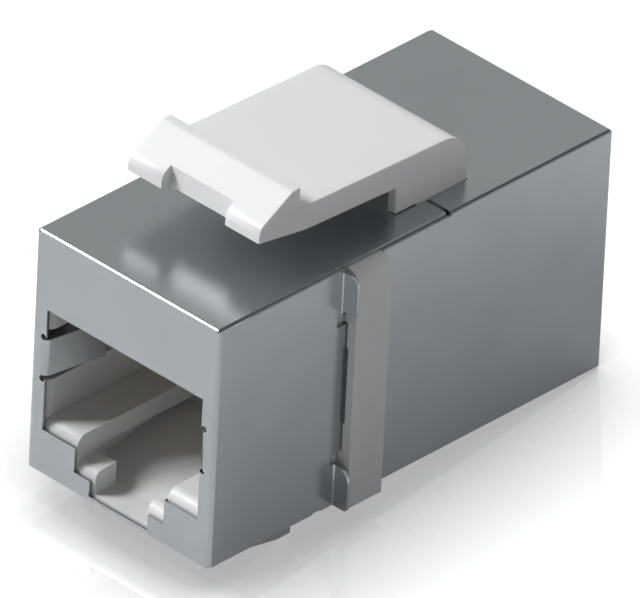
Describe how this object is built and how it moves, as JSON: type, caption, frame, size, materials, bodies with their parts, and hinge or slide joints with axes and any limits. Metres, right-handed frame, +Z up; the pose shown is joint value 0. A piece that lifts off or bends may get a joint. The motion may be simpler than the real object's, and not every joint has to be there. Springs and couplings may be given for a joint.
{
  "type": "keystone coupler",
  "caption": "Shielded in-line keystone coupler: a folded metal screen round two back-to-back modular jack ports, with a sprung snap latch on top and a fixed catch lug below.",
  "frame": {"origin": "bottom centre of the coupler's box, level with the lowest edge of its catch lug", "axes": "+Y from the front port to the rear port, along the coupler; +Z up towards the snap latch; +X to the right when looking into the front port"},
  "size_m": [0.0168, 0.032, 0.0228],
  "materials": {
    "screen_metal": "nickel-plated folded steel sheet, satin bright",
    "white_plastic": "white moulded plastic, soft gloss",
    "jack_plastic": "pale grey-white moulded plastic, soft gloss",
    "carrier_plastic": "dark moulded plastic",
    "board_laminate": "green lacquered circuit board",
    "contact_metal": "gold-plated spring wire"
  },
  "bodies": {
    "coupler": {"front_shell": "screen_metal", "rear_shell": "screen_metal", "collar": "white_plastic", "front_housing": "jack_plastic", "rear_housing": "jack_plastic", "front_contact_carrier": "carrier_plastic", "rear_contact_carrier": "carrier_plastic", "circuit_board": "board_laminate", "front_contact_1": "contact_metal", "front_contact_2": "contact_metal", "front_contact_3": "contact_metal", "front_contact_4": "contact_metal", "front_contact_5": "contact_metal", "front_contact_6": "contact_metal", "front_contact_7": "contact_metal", "front_contact_8": "contact_metal", "rear_contact_1": "contact_metal", "rear_contact_2": "contact_metal", "rear_contact_3": "contact_metal", "rear_contact_4": "contact_metal", "rear_contact_5": "contact_metal", "rear_contact_6": "contact_metal", "rear_contact_7": "contact_metal", "rear_contact_8": "contact_metal"},
    "snap_latch": {"latch": "white_plastic"}
  },
  "joints": [
    {"name": "latch_press", "type": "hinge", "parent": "coupler", "child": "snap_latch", "pos_m": [0, 0.0002, 0.0168], "axis": [1, 0, 0], "range_deg": [0, 9], "stiffness_Nm_per_rad": 0.3}
  ]
}
